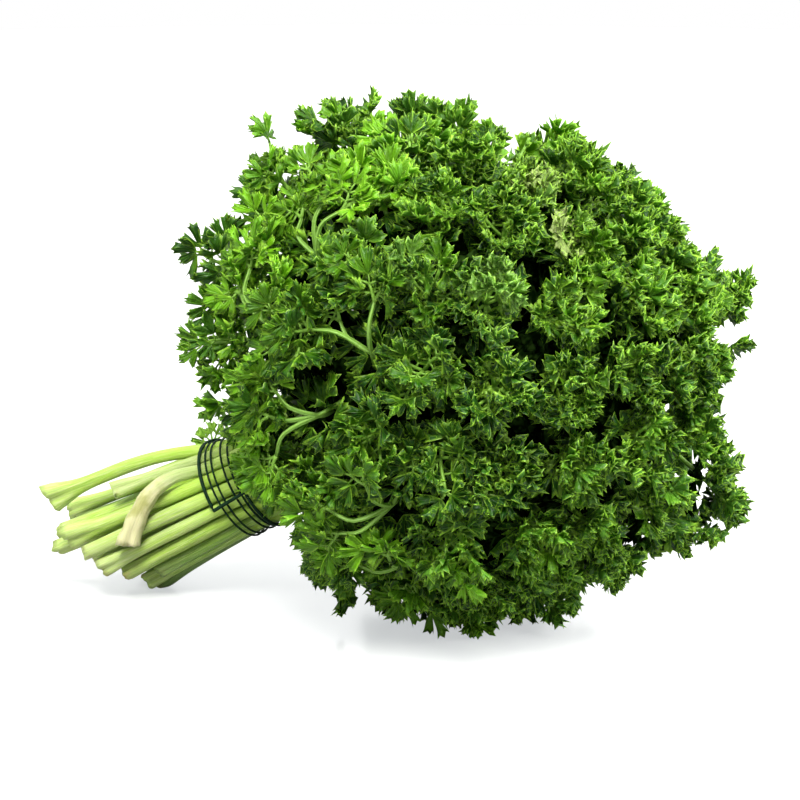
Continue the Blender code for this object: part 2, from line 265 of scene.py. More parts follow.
# ---- colours ----
DEEP_GREEN = (0.012, 0.075, 0.001)
FRESH_GREEN = (0.2, 0.49, 0.008)
VEIN_GREEN = (0.2, 0.42, 0.02)
BASE_GREEN = (0.18, 0.44, 0.02)
# painted shade inside tightly curled leaflets
CURL_SHADE_GREEN = (0.01, 0.06, 0.001)
# painted highlights along the ridges of curled leaflets
RIDGE_HIGHLIGHT_GREEN = (0.36, 0.7, 0.05)
# pale margins, also painted highlights where the teeth catch the light
RIM_AND_HIGHLIGHT_GREEN = (0.46, 0.82, 0.06)
UNDER_GREEN = (0.1, 0.29, 0.03)
YELLOWED = (0.74, 0.72, 0.34)
# the colour of a painted whitish sheen on leaflets
SHEEN_GREEN = (0.45, 0.74, 0.2)
TWIG_GREEN = (0.16, 0.34, 0.035)
TWIG_LIGHT = (0.26, 0.47, 0.07)
TWIG_RIB = (0.36, 0.6, 0.15)
# near-black greens of the deep leaves: painted shade
DEPTH_SHADE_GREENS = ((0.004, 0.014, 0.002), (0.032, 0.075, 0.012))
SHINE_THROUGH = (1.4, 1.5, 0.7)
THROUGH = 0.3
STEM_GREEN = (0.19, 0.36, 0.04)
STEM_LIGHT = (0.38, 0.56, 0.06)
# the palest streaks: pale fibre, and also painted highlights
PALE_STREAK_AND_HIGHLIGHT = (0.42, 0.52, 0.19)
FIBRE_DARK = (0.15, 0.34, 0.03)
# light fibres, and also painted highlights
LIGHT_FIBRE_AND_HIGHLIGHT = (0.62, 0.72, 0.32)
CUT_PALE = (0.5, 0.55, 0.26)
CREAMS = ((0.58, 0.54, 0.31), (0.33, 0.31, 0.1))
VIVID = (0.44, 0.7, 0.06)
UPPER_GREEN = (0.1, 0.26, 0.025)
SHADY_GREEN = (0.035, 0.13, 0.01)
BROWN = (0.3, 0.2, 0.06)
HEART = (0.42, 0.46, 0.16)
RUBBER = ((0.002, 0.012, 0.005), (0.006, 0.034, 0.012))
# stretches of a stem over which a colour comes or goes, in mm from its cut end
CUT_GOES = (0, 16)
BROWN_GOES = (0, 3.5)
CREAM_GOES = (18, 34)
VIVID_COMES = (30, 52)
VIVID_GOES = (72, 84)
GREEN_COMES = (70, 96)
# noise: (how fine, how detailed)
CLOUD = (90, 4)
GRAIN = (900, 3)
WRINKLE = (330, 1)
STREAK = (1.3, 4)
FIBRE = (4.5, 2)
BLOTCH = (140, 4)
RUBBER_GRAIN = (1500, 4)
STREAK_ROUND = 4.2  # how many streaks there are round a stem, more or less
STREAK_ALONG = 0.035
STREAK_APART = 40.0  # so that no two stems have the same streaks

AXIS = np.array((cos(HEAD_SLOPE), 0, sin(HEAD_SLOPE)))
AXIS_UP = np.array((-sin(HEAD_SLOPE), 0, cos(HEAD_SLOPE)))
SIDE = np.array((0.0, 1.0, 0.0))
TIE_AXIS = np.array((cos(TIE_SLOPE), 0, sin(TIE_SLOPE)))
TIE_UP = np.array((-sin(TIE_SLOPE), 0, cos(TIE_SLOPE)))
LOWER_AXIS = np.array((cos(LOWER_SLOPE), 0, sin(LOWER_SLOPE)))
rng = np.random.default_rng(SEED)


# ---- the frame's own formulas ----


def scatter(index, salt):
    """A repeatable number from -1 to 1."""
    value = sin(index * 12.9898 + salt * 78.233) * 43758.5453
    return 2 * (value - floor(value)) - 1


def unit(v):
    return v / np.linalg.norm(v, axis=-1, keepdims=True)


def toward(turn, rise):
    """The direction of something seen at that turn from -Y toward +X, and at that rise, in degrees."""
    t, r = radians(turn), radians(rise)
    return np.array((sin(t) * cos(r), -cos(t) * cos(r), sin(r)))


def polar(theta, phi):
    """A direction from the head centre: theta from the tip of the head, phi round the axis."""
    around = SIDE * cos(phi) + AXIS_UP * sin(phi)
    return AXIS * cos(theta) + around * sin(theta)


def head_radius(direction):
    """How far the leaves reach from the head centre in that direction."""
    reach = 1 / np.linalg.norm(direction / HEAD_RADII)
    for bearing, turn, rise, width in LUMPS:
        b, t = radians(bearing), radians(turn)
        lump = np.array((cos(b) * cos(t), sin(t), sin(b) * cos(t)))
        off = degrees(acos(np.clip(direction @ lump, -1, 1)))
        reach += rise * MM * exp(-((off / width) ** 2))
    return reach


def gash(direction):
    """How far the leaves are sunk in that direction where they are parted over the top."""
    start, end = (toward(*place) for place in GASH)
    across = unit(np.cross(start, end))
    if np.cross(start, direction) @ across < 0 or np.cross(direction, end) @ across < 0:
        return 0.0
    off = degrees(asin(direction @ across))
    return GASH_DEPTH * exp(-((off / GASH_WIDTH) ** 2))


def crowded(point):
    """Whether a leaflet there would fill the parting over the top, or cover the tie."""
    from_tie = point - BAND_CENTRE
    along = from_tie @ TIE_AXIS
    if along < TIE_ROOM and np.linalg.norm(from_tie - TIE_AXIS * along) < TIE_REACH:
        return True
    from_head = point - HEAD_CENTRE
    direction = unit(from_head)
    sunk = gash(direction)
    return sunk > GASH_CLEAR and np.linalg.norm(from_head) > head_radius(direction) - sunk + GASH_CLEAR


def tufted(sites):
    """The sites, some of them moved to where a tuft stands out, and how far each stands out."""
    sites, proud = sites.copy(), np.zeros(len(sites))
    for place, more in TUFTS:
        index = int(np.argmax(np.where(proud > 0, -1, sites @ toward(*place))))
        sites[index] = toward(*place)
        proud[index] = more * MM
    return sites, proud


def site_directions():
    """Where the side branches end: spread over the dome by the golden angle."""
    sites = []
    for k in range(CUSHIONS):
        theta = acos(1 - (k + 0.5) / CUSHIONS * (1 - cos(DOME_REACH)))
        theta += radians(1.6) * scatter(k, 1)
        phi = k * GOLDEN + radians(1.6) * scatter(k, 2) / max(0.2, sin(theta))
        sites.append(polar(theta, phi))
    return np.array(sites)


def stem_slots():
    """One entry for each stem: ring number, place in the ring, angle round the tie, direction."""
    slots = []
    for ring, (count, _, _, thetas) in enumerate(RINGS):
        for i in range(count):
            phi = radians(RING_TURN[ring]) + 2 * pi * i / count
            theta = radians(thetas[i % len(thetas)] + 2.5 * scatter(i, 3 + ring))
            slots.append((ring, i, phi, polar(theta, phi)))
    return slots


def round_tie(phi):
    """The direction out from the middle of the tie, at that angle round it."""
    return SIDE * cos(phi) + TIE_UP * sin(phi)


def bundle_point(ring_radius, phi, depth):
    """A place in the cut half, that far below the tie; the bundle opens toward its cut ends."""
    opened = ring_radius * (1 + SPREAD * depth)
    raised = TIE_UP * (SETTLE * RINGS[-1][1] * MM * SPREAD * depth)
    return BAND_CENTRE - LOWER_AXIS * depth + round_tie(phi) * opened + raised


def stem_line(number, ring, place, phi, direction, top):
    """Points and radii of one stem from its cut end, through the tie, to its fork."""
    _, ring_mm, radius_mm, _ = RINGS[ring]
    radius = radius_mm * MM
    lift = sin(phi) if ring else 0.0
    length = CUT_LENGTH + CUT_SLANT * lift + CUT_SCATTER * scatter(place, 11 + ring)
    length = {ARCH: ARCH_LENGTH, BENT: BENT_LENGTH}.get(number, length)
    points, radii = [], []
    for part in (1.0, 0.82, 0.62, 0.42, STRAIGHT / length, 0.0):
        point = bundle_point(ring_mm * MM, phi, length * part)
        bend = max(0.0, part - STRAIGHT / length) / (1 - STRAIGHT / length)
        if number == ARCH:
            point = point + ARCH_SHIFT * sin(0.5 * pi * bend)
        if number == BENT:
            point = point + BENT_SHIFT * bend**2.2 + round_tie(phi) * (BENT_ARC * sin(pi * bend))
        points.append(point)
        radii.append(radius * (1 + (BASE_SWELL - 1) * part))
    start = points[-1] + TIE_AXIS * STRAIGHT
    points.append(start)
    radii.append(radius)
    handle = start + TIE_AXIS * (0.45 * np.linalg.norm(top - start))
    reach = top - direction * (0.25 * np.linalg.norm(top - start))
    for step in range(1, 6):
        t = step / 5
        near = start * (1 - t) ** 3 + handle * 3 * t * (1 - t) ** 2
        points.append(near + reach * 3 * t**2 * (1 - t) + top * t**3)
        radii.append(radius * (1 + (TOP_TAPER - 1) * t))
    return np.array(points), np.array(radii)


# ---- meshes ----


class Build:
    """Collects closed bodies with their surface values, and makes one mesh object of them."""

    def __init__(self):
        self.points, self.faces, self.values, self.count = [], [], {}, 0
        self.fine, self.coarse = Lot(), Lot()

    def add(self, points, faces, values):
        """points (n, 3); faces, a list of index arrays, one row a face; values, name: (n,) numbers."""
        for block in faces:
            self.faces.append(np.asarray(block) + self.count)
        for name in sorted(set(self.values) | set(values)):
            had = self.values.setdefault(name, [])
            if not had and self.count:
                had.append(np.zeros(self.count))
            had.append(np.broadcast_to(values.get(name, 0.0), len(points)).astype(float))
        self.points.append(points)
        self.count += len(points)

    def make(self, name, material, nodes):
        """The finished piece, standing for its CAD nodes."""
        mesh = bpy.data.meshes.new(name)
        points = np.concatenate(self.points)
        low = points[:, 2] < PRESSED
        points[low, 2] = PRESSED * np.exp(points[low, 2] / PRESSED - 1)
        loops = np.concatenate([block.ravel() for block in self.faces])
        sizes = np.concatenate([np.full(len(block), block.shape[1]) for block in self.faces])
        mesh.vertices.add(len(points))
        mesh.vertices.foreach_set("co", points.astype(np.float32).ravel())
        mesh.loops.add(len(loops))
        mesh.loops.foreach_set("vertex_index", loops.astype(np.int32))
        mesh.polygons.add(len(sizes))
        mesh.polygons.foreach_set("loop_start", (np.cumsum(sizes) - sizes).astype(np.int32))
        for value, parts in self.values.items():
            layer = mesh.attributes.new(value, "FLOAT", "POINT")
            layer.data.foreach_set("value", np.concatenate(parts).astype(np.float32))
        mesh.update(calc_edges=True)
        mesh.shade_smooth()
        mesh.materials.append(material)
        obj = linked(name, mesh)
        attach(obj, ROOT)
        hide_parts(*nodes)


def smooth_line(points, radii, steps):
    """More points along the same route, by Catmull-Rom, with their radii."""
    ends = np.vstack([2 * points[0] - points[1], points, 2 * points[-1] - points[-2]])
    out, thick = [], []
    for k in range(len(points) - 1):
        a, b, c, d = ends[k : k + 4]
        square, cube = 2 * a - 5 * b + 4 * c - d, 3 * b - a - 3 * c + d
        for t in np.arange(steps) / steps:
            out.append(0.5 * (2 * b + (c - a) * t + square * t**2 + cube * t**3))
            thick.append(radii[k] + (radii[k + 1] - radii[k]) * t)
    return np.array(out + [points[-1]]), np.array(thick + [radii[-1]])


def frames(line):
    """Two directions across a line at each of its points, turned as little as possible."""
    ahead = unit(np.gradient(line, axis=0))
    first, across = np.array((0.0, 0.0, 1.0)), []
    for direction in ahead:
        first = unit(first - direction * (first @ direction))
        across.append(first)
    return np.array(across), np.cross(ahead, across)


def tube(line, radius, sides, closed=False):
    """A tube of given radius at each point, or at each point and side: points, faces, how far along."""
    rows = len(line)
    up, aside = frames(line)
    turn = 2 * pi * np.arange(sides) / sides
    radius = np.broadcast_to(np.asarray(radius).reshape(rows, -1), (rows, sides))[..., None]
    ring = up[:, None] * np.cos(turn)[:, None] + aside[:, None] * np.sin(turn)[:, None]
    points = (line[:, None] + ring * radius).reshape(-1, 3)
    span = rows if closed else rows - 1
    row = np.arange(span)[:, None] * sides
    after = (np.arange(span)[:, None] + 1) % rows * sides
    here = np.arange(sides)
    there = (here + 1) % sides
    quads = np.stack([row + here, row + there, after + there, after + here], -1).reshape(-1, 4)
    faces = [quads]
    if not closed:
        faces += [here[::-1][None], (here + (rows - 1) * sides)[None]]
    along = np.repeat(np.linspace(0, 1, rows), sides)
    return points, faces, along


# ---- leaflets ----


def blade_template(rings, strides):
    """Which places of the grid a leaflet takes, and its faces: an upper and a lower skin that meet
    along the sides and the toothed margin."""
    last, end = len(rings) - 1, COLUMNS - 1
    picks, upper, lower, triangles, quads = [], {}, {}, [], []
    for under, skin in enumerate((upper, lower)):
        for ring, stride in enumerate(strides):
            for column in range(0, COLUMNS, stride):
                shared = under and (ring == last or column in (0, end))
                skin[ring, column] = upper[ring, column] if shared else len(picks)
                if not shared:
                    picks.append((ring, column, under))
    for ring in range(last):
        coarse, fine = strides[ring], strides[ring + 1]
        for column in range(0, end, coarse):
            for skin, turn in ((upper, 1), (lower, -1)):
                a, b = skin[ring, column], skin[ring, column + coarse]
                out = [skin[ring + 1, c] for c in range(column, column + coarse + 1, fine)]
                if len(out) == 2:
                    quads.append((a, b, out[1], out[0])[::turn])
                    continue
                middle = len(out) // 2
                for k in range(len(out) - 1):
                    near = a if k < middle else b
                    triangles.append((near, out[k + 1], out[k])[::turn])
                triangles.append((a, b, out[middle])[::turn])
    base = [upper[0, c] for c in range(end, -1, -strides[0])]
    base += [lower[0, c] for c in range(strides[0], end, strides[0])]
    return np.array(picks), [np.array(kind) for kind in (triangles, quads, [base]) if kind]


def outline(count, notch, curl):
    """How far each column of each leaflet reaches: lobes, teeth and the cuts between them."""
    inside = 2 * (COLUMN - LOBE_COLUMNS * LOBE) / LOBE_COLUMNS - 1
    shorter = 1 - rng.uniform(*LOBE_SHORTER, (count, LOBES))
    shorter[:, 1] = 1
    reach = (1 - LOBE_ROUND * inside**4) * shorter[:, LOBE]
    depth = (rng.uniform(*TOOTH_DEPTH, (count, TEETH)) * (1 + TOOTH_CURL * curl[:, None]))[:, TOOTH]
    tips = 1 + rng.normal(0, TOOTH_VARY, (count, TEETH))[:, TOOTH]
    reach *= np.where(COLUMN % STEPS, tips, 1 - depth)
    reach[:, LOBE_CUTS] *= 1 - notch[:, None]
    reach[:, (0, -1)] *= SIDE_REACH
    return reach


def blades(build, template, rings, leaf):
    """Adds a batch of leaflets. leaf has a row for each, with what Lot.grow puts there."""
    count = len(leaf["size"])
    across = 2 * COLUMN / (COLUMNS - 1) - 1
    row = {name: value[:, None, None] for name, value in leaf.items() if value.ndim == 1}
    reach = outline(count, leaf["notch"], leaf["curl"])[:, None]
    s = np.array(rings)[None, :, None]
    part = s * reach
    drifts = rng.normal(0, DRIFT, (count, TEETH + 1))
    drift = np.stack([np.interp(COLUMN / STEPS, np.arange(TEETH + 1), k) for k in drifts])
    wave = 2 * pi * COLUMN / (row["wave_teeth"] * STEPS) + row["phase"] + drift[:, None]
    axis = (2 * LOBE + 1) / LOBES - 1
    axis[LOBE_CUTS] = across[LOBE_CUTS]
    spread = axis + (across - axis) * (1 - row["narrow"] * part**1.5)
    alpha = row["half"] * spread + row["fold"] * part**3 * np.cos(wave)
    flick = rng.normal(0, 1, (count, TEETH))[:, None, TOOTH] * (COLUMN % STEPS)
    lobe_wave = np.cos(2 * pi * (COLUMN / LOBE_COLUMNS - 0.5))
    height = row["lobe_wave"] * part**1.4 * lobe_wave
    height += row["frill"] * (part**3 * np.sin(wave) + FLICK * part**4 * flick)
    height += row["cone"] * row["size"] * part * across**2
    height += PLEAT * part * (2 * (COLUMN % STEPS) - 1)
    bend = row["bend"] * (1 + 0.25 * drift[:, None])
    bend = np.where(np.abs(bend) < 0.01, 0.01, bend)
    out = row["size"] * np.sin(bend * part) / bend - height * np.sin(bend * part)
    lift = row["size"] * (1 - np.cos(bend * part)) / bend + height * np.cos(bend * part)
    ahead = unit(leaf["ahead"])
    face = unit(leaf["face"] - ahead * (leaf["face"] * ahead).sum(-1, keepdims=True))
    right = np.cross(ahead, face)
    grid = leaf["base"][:, None, None] + right[:, None, None] * (out * np.sin(alpha))[..., None]
    grid += ahead[:, None, None] * (out * np.cos(alpha))[..., None]
    grid += face[:, None, None] * lift[..., None]
    normal = unit(np.cross(np.gradient(grid, axis=2), np.gradient(grid, axis=1)))
    below = grid - normal * (BLADE_THICK * (1 - s**6) * (1 - np.abs(across) ** 8))[..., None]
    picks, faces = template
    ring, place, skin = picks.T
    points = np.where(skin[None, :, None] == 0, grid[:, ring, place], below[:, ring, place])
    shift = (np.arange(count) * len(picks))[:, None, None]
    edge = (1 - s) * reach * row["size"] / MM
    side = 0.7 * (1 - np.abs(across)) * row["half"] * part * row["size"] / MM
    shape = (count, len(picks))
    values = {name: leaf[name][:, None] for name in ("tone", "curl", "age", "frost")}
    values.update(across=COLUMN[place] / STEPS, along=s[0, ring, 0], under=skin)
    values["margin"] = np.minimum(edge, side)[:, ring, place]
    faces = [(block[None] + shift).reshape(-1, block.shape[1]) for block in faces]
    values = {name: np.broadcast_to(value, shape).ravel() for name, value in values.items()}
    build.add(points.reshape(-1, 3), faces, values)


def drawn(span, crisp):
    """A number from least to most, and more of it for a curled leaf."""
    least, most, curled = span
    return rng.uniform(least, most) + curled * crisp


class Lot:
    """Leaflets to be made in one batch."""

    def __init__(self):
        self.rows = []

    def grow(self, base, ahead, face, size, crisp, tone, age=0.0, frost=0.0, anywhere=False):
        """One leaflet, if there is room: face is its upper side, and crisp is 1 for a tightly curled
        one and 0 for a flatter one."""
        if not anywhere and crowded(base + ahead * 0.6 * size):
            return
        curl = min(1.0, crisp)
        wavy = MM * (1 + WAVE_CURL * crisp)
        self.rows.append(dict(
            base=base, ahead=ahead, face=face, size=size, tone=tone, age=age, frost=frost, curl=curl,
            half=radians(drawn(HALF_FAN, crisp)),
            bend=rng.uniform(*BEND) + crisp * rng.uniform(*BEND_CURL),
            cone=drawn(CONE, crisp),
            lobe_wave=rng.choice((-1, 1)) * rng.uniform(*LOBE_WAVE) * wavy,
            frill=rng.uniform(*FRILL) * (1 + FRILL_CURL * crisp) * MM,
            fold=radians(FOLD[0] + FOLD[1] * crisp),
            notch=rng.uniform(*NOTCH),
            narrow=rng.uniform(*NARROW),
            phase=rng.uniform(0, 2 * pi),
            wave_teeth=WAVE_TEETH[0] + WAVE_TEETH[1] * curl,
        ))

    def columns(self):
        return {name: np.array([row[name] for row in self.rows]) for name in self.rows[0]}


def twig(build, start, end, thick, sides=6, steps=3):
    """A slightly bowed, tapering stalk from start to end."""
    span = np.linalg.norm(end - start)
    middle = (start + end) / 2 + TWIG_BOW * span * unit(rng.normal(size=3))
    line, radius = smooth_line(np.array([start, middle, end]), np.array([1.2, 1.0, 0.8]) * thick, steps)
    points, faces, along = tube(line, radius, sides)
    build.add(points, faces, {"stalk": 1.0, "along": along, "tone": 0.5})


def spray(hub, knot, out, crisp, tone, build):
    """A small leaf: a stalk from hub to knot with leaflets in pairs and one at its tip, facing out."""
    span = np.linalg.norm(knot - hub)
    ahead = (knot - hub) / span
    twig(build, hub, knot, 0.55 * MM, sides=5, steps=2)
    face = unit(out - ahead * (out @ ahead) + 0.3 * rng.normal(size=3))
    right = unit(np.cross(ahead, face))
    for turn, back in LEAFLETS:
        swing = turn * (1 - CLOSE_SWING * crisp) + 0.2 * rng.normal()
        toward_tip = unit(ahead * cos(swing) + right * sin(swing) + 0.15 * rng.normal(size=3))
        joint = knot - ahead * back * span
        base = joint + toward_tip * drawn(STALK_LENGTH, crisp) * MM
        twig(build, joint, base + toward_tip * 0.5 * MM, 0.4 * MM, sides=3, steps=1)
        up = face + 0.25 * rng.normal(size=3) - 0.35 * right * sin(turn)
        size = drawn(LEAF_SIZE, crisp) * MM * (1 - 0.5 * back)
        # painted sheen: these leaflets get a whitish sheen and a lighter tone
        frost = patch(knot, SHEEN_PLACES, SHEEN_PATCH[1])
        shade = tone + 0.1 * rng.normal() + SHEEN_PATCH[0] * frost
        # the tone is lifted in the brighter places and lowered in the shaded ones, as painted shade
        for places, (more, width) in SHADES:
            shade += more * patch(knot, places, width)
        shade = float(np.clip(shade, 0, 1))
        age = OLD_PATCH[0] * patch(knot, OLD, OLD_PATCH[1])
        lot = build.coarse if back else build.fine
        curl = crisp * rng.uniform(0.7, 1.2)
        lot.grow(base, toward_tip, up, size, curl, shade, age, frost)


def patch(point, places, width):
    """1 in the middle of any of some places on the head, 0 well away from them."""
    cosine = max(unit(point - HEAD_CENTRE) @ toward(*place) for place in places)
    return exp(-((degrees(acos(min(1.0, cosine))) / width) ** 2))


def open_fork(hub, site, arms, tone, build):
    """A fork seen from outside: bare arms that bow out and along the head, each with its spray."""
    up = unit(np.array((0, 0, 1.0)) - site * site[2])
    right = np.cross(up, site)
    root = hub - site * 6 * MM
    for angle in arms:
        turn = radians(angle)
        aside = right * cos(turn) + up * sin(turn)
        length = FORK_ARM * rng.uniform(0.8, 1.25)
        bow = np.cross(site, aside) * rng.uniform(-0.16, 0.16) * length
        elbow = hub + (site * 0.42 + aside * 0.5) * length + bow
        knot = hub + (site * 0.4 + aside) * length
        line, thick = smooth_line(np.array([root, hub, elbow, knot]), FORK_THICK, 4)
        points, faces, along = tube(line, thick, ARM_SIDES)
        ribs = np.tile(np.arange(ARM_SIDES) % 2, len(line)) / 2
        build.add(points, faces, {"stalk": 1.0, "along": along, "tone": 0.6, "across": ribs})
        for swing in (-0.5, 0.5):
            ahead = aside * cos(swing) + np.cross(site, aside) * sin(swing)
            tip = knot + unit(ahead + 0.15 * site) * rng.uniform(4, 6) * MM
            spray(knot, tip, site, 0.15, tone, build)


def aside_from(site, azimuth):
    """A direction along the head from a site on it."""
    first = unit(np.cross(site, (0.3, 0.9, 0.2)))
    return first * cos(azimuth) + np.cross(site, first) * sin(azimuth)


def branch(index, site, proud, fork, arms, build):
    """One side branch: its stalk, its sprays of leaflets, and the leaves deeper inside."""
    crisp = float(np.clip(crispness(site) + 0.25 * scatter(index, 9), 0, 1))
    flat, curled, uneven = OUTWARD
    past = (flat + curled * crisp + uneven * scatter(index, 5)) * MM
    out = head_radius(site) + proud - gash(site) + past
    hub = HEAD_CENTRE + site * (out - (HUB_DEPTH[0] + HUB_DEPTH[1] * (1 - crisp)) * MM)
    twig(build, fork, hub, 0.9 * MM)
    start = pi * scatter(index, 6)
    tone = 0.5 + 0.18 * scatter(index, 7)
    if arms:
        open_fork(hub, site, arms, tone, build)
    airy = crispness(site) < AIRY
    around = SPRAYS + (crisp > CLOSE)
    for k in range(0 if arms else around + 1):
        middle = k == around
        tangent = aside_from(site, start + 2 * pi * k / around + 0.3 * rng.normal())
        tilt = rng.uniform(*TILT_MIDDLE) if middle else drawn(TILT_ROUND, crisp)
        ahead = site * cos(tilt) + tangent * sin(tilt)
        reach = drawn(SPRAY_REACH, crisp) * MM
        knot = hub + ahead * reach * (MIDDLE_SHORTER if middle else 1)
        beyond = unit(knot + ahead * LEAFLET_REACH - HEAD_CENTRE)
        rise = head_radius(beyond) - head_radius(site)
        rise = rise * (HOLLOW if rise < 0 else 1) + gash(site) - gash(beyond)
        knot = knot + site * (rise + rng.normal(0, 1.0) * MM)
        outward = site * sin(tilt) - tangent * cos(tilt)
        spray(hub, knot, outward, crisp, tone + 0.13 * rng.normal(), build)
    inner = INNER // 2 if airy else INNER
    for k in range(inner):
        tangent = aside_from(site, start + 2 * pi * (k + 0.5 * rng.random()) / inner)
        ahead = unit(tangent + site * rng.uniform(-0.2, 0.9))
        base = hub + tangent * rng.uniform(2, 8) * MM + site * rng.uniform(-5, 2) * MM
        face = site + 0.4 * rng.normal(size=3)
        shade = float(np.clip(tone + INNER_SHADE + 0.12 * rng.normal(), 0, 1))
        build.coarse.grow(base, ahead, face, rng.uniform(*INNER_SIZE) * MM, crisp, shade)
    # fillers: big leaves deep under the hub, painted near black as shade
    fillers = FILLERS - airy + 2 * (proud > 0)
    for k in range(fillers):
        tangent = aside_from(site, start + 2 * pi * k / fillers)
        ahead = unit(tangent + site * rng.uniform(-0.25, 0.1))
        size = (rng.uniform(*FILLER_SIZE) - FILLER_SMALLER * (proud > 0)) * MM
        build.coarse.grow(hub - site * FILLER_DEPTH, ahead, site, size, DEPTH_CURL, SHADOW_TONE)


def core(fork, build):
    """The broad leaves in the middle of the head, painted near black as shade, which nothing shows
    through.
    """
    out = unit(fork - HEAD_CENTRE)
    first = unit(np.cross(out, rng.normal(size=3)))
    for side in (-1, 1):
        ahead = side * first + 0.2 * out
        size = rng.uniform(*CORE_SIZE) * MM
        build.coarse.grow(fork + side * first * 2 * MM, ahead, out, size, DEPTH_CURL, SHADOW_TONE)


def crispness(site):
    """1 where the leaflets are tightly curled; 0 where they are flatter and open, as by the tie."""
    return float(np.clip(0.62 + 0.72 * (site @ AXIS) - 0.5 * (site[2] - 0.1), 0.25, 1))


def frond(number, fork, members, sites, proud, arms, material):
    """One frond: its fork, stalks and leaflets."""
    build = Build()
    for index in members:
        branch(index, sites[index], proud[index], fork, arms.get(index), build)
    core(fork, build)
    blades(build, FINE, FINE_RINGS, build.fine.columns())
    blades(build, COARSE, COARSE_RINGS, build.coarse.columns())
    build.make(f"frond_{number:02d}", material, [f"leaf_{number:02d}"])


FINE = blade_template(FINE_RINGS, FINE_STRIDE)
COARSE = blade_template(COARSE_RINGS, COARSE_STRIDE)


# ---- stems and bands ----


def recess(points, sides, ahead, slant):
    """Cuts a stem's first ring at a slant and sinks its end: new points, and faces for the end."""
    ring = points[:sides]
    middle = ring.mean(0)
    ring += ahead * (((ring - middle) @ slant)[:, None] + CUT_ROUGH * rng.normal(size=(sides, 1)))
    rim_and_highlight, deep = (middle + (ring - middle) * wide + ahead * sunk for wide, sunk in CUT_STEPS)
    first = len(points)
    here = np.arange(sides)
    there = (here + 1) % sides
    faces = [
        np.stack([here, first + here, first + there, there], -1),
        np.stack([first + here, first + sides + here, first + sides + there, first + there], -1),
        (first + sides + here[::-1])[None],
    ]
    return np.vstack([points, rim_and_highlight, deep]), faces


def travelled(line):
    """How far each point of a line is from its start."""
    return np.concatenate([[0], np.cumsum(np.linalg.norm(np.diff(line, axis=0), axis=1))])


def trimmed(line, thick, length):
    """The line without its first stretch of that length."""
    far = travelled(line)
    keep = far > length
    start = np.array([np.interp(length, far, line[:, axis]) for axis in range(3)])
    return np.vstack([start, line[keep]]), np.append(np.interp(length, far, thick), thick[keep])


def stem(number, points, radii, material):
    """A ribbed, grooved stem with a sunken cut end; some ends flare into a sheath."""
    build = Build()
    line, thick = smooth_line(points[:7], radii[:7], 5)
    hidden, thin = smooth_line(points[6:], radii[6:], 2)
    line, thick = np.vstack([line, hidden[1:]]), np.append(thick, thin[1:])
    if number in BROKEN:
        line, thick = trimmed(line, thick, BROKEN[number] * MM)
    far = travelled(line)
    if number == ARCH:
        wave = np.sin(1.5 * pi * np.clip(1 - far / ARCH_LENGTH, 0, 1))
        line += ARCH_DROOP * wave[:, None]
    if number == BENT:
        part = np.clip(1 - far / BENT_LENGTH, 0, 1)
        line -= TIE_UP * (BENT_SINK * np.sin(pi * part))[:, None]
    else:
        part = np.clip(1 - far / CUT_LENGTH, 0, 1)[:, None]
        line += (SIDE * scatter(number, 31) + TIE_UP * scatter(number, 32)) * WANDER * part**1.5
        line += SIDE * WANDER * scatter(number, 33) * part * np.sin(2 * pi * part)
    turn = 2 * pi * np.arange(STEM_SIDES) / STEM_SIDES
    groove = rng.uniform(0, 2 * pi)
    flare, pale = FLARES.get(number, (rng.uniform(0.0, 0.18), rng.uniform(0, 0.35)))
    if number in FLARES:
        groove = FLARE_TURN + 0.5 * scatter(number, 41)
    end = np.exp(-((far / FLARE_LENGTH) ** 2))[:, None]
    off = np.abs((turn - groove + pi) % (2 * pi) - pi)
    radius = thick[:, None] * (1 + RIB_DEPTH * np.cos(RIBS * turn + number)[None])
    radius *= 1 - (GROOVE + GROOVE_AT_END * end) * np.exp(-((off / GROOVE_WIDTH) ** 2))[None]
    radius *= 1 + flare * end * np.sin(turn - groove)[None] ** 2
    radius *= 1 + KNOBBLE * np.sin(far / (5 * MM) + number)[:, None]
    radius *= 1 + OVAL * np.cos(2 * (turn - groove))[None]
    if number == BENT:
        girth = np.exp(-((far / BENT_REACH) ** 4)) * (BENT_GIRTH + 0.09 * np.sin(far / (1.3 * MM)))
        radius *= 1 + girth[:, None]
    body, faces, _ = tube(line, radius, STEM_SIDES)
    slant = CUT_TILT * unit(rng.normal(size=3))
    body, end_faces = recess(body, STEM_SIDES, unit(line[1] - line[0]), slant)
    faces[1:2] = end_faces
    turns = np.tile(turn, len(far) + 2)
    build.add(body, faces, dict(
        length=np.repeat(np.append(far, (0, 0)), STEM_SIDES) / MM,
        heart=np.repeat(np.append(0 * far, (0.3, 1.0)), STEM_SIDES),
        cosine=np.cos(turns),
        sine=np.sin(turns),
        tone=0.5 + 0.5 * scatter(number, 21),
        pale=max(0.0, pale),
        dark=max(0.0, -pale),
    ))
    build.make(f"stalk_{number:02d}", material, [f"stem_{number:02d}"])


def on_tie(angle, offset, out):
    """A place on the surface of the tied bundle: round it in degrees, along it, and out from it."""
    phi = radians(angle)
    around = round_tie(phi)
    _, ring_mm, radius_mm, _ = RINGS[-1]
    out += radius_mm * MM + TIE_CLEAR
    if offset > 0:
        return BAND_CENTRE + TIE_AXIS * offset + around * (ring_mm * MM + out)
    return bundle_point(ring_mm * MM, phi, -offset) + around * out


